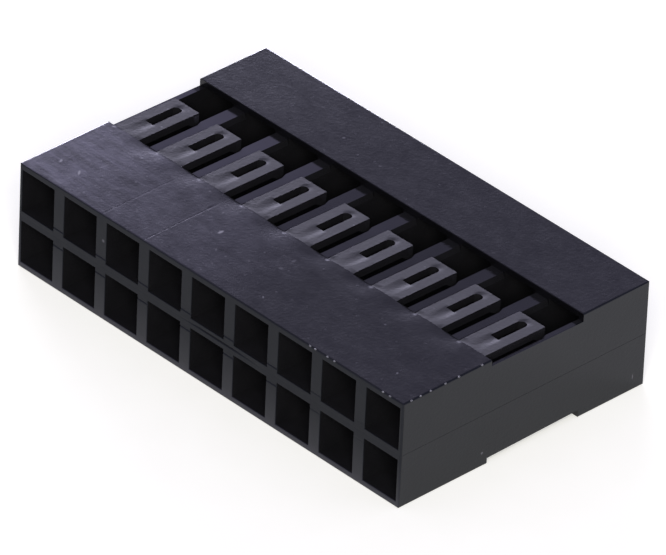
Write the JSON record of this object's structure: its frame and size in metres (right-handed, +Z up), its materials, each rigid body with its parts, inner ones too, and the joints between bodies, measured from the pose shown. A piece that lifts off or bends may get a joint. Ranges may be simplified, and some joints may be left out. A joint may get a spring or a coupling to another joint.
{
  "type": "connector housing",
  "caption": "Flat rectangular plastic connector housing with rows of square wire cavities, slotted latch tongues in a recess across each broad face, and square pin entries at the mating end.",
  "frame": {"origin": "centre of the underside", "axes": "+X along the contact rows, +Y from the wire entries towards the mating face, +Z up"},
  "size_m": [0.0226, 0.0136, 0.005],
  "materials": {
    "plastic": "satin black moulding with faint flow marks"
  },
  "bodies": {
    "root": {"housing": "plastic"}
  },
  "joints": []
}
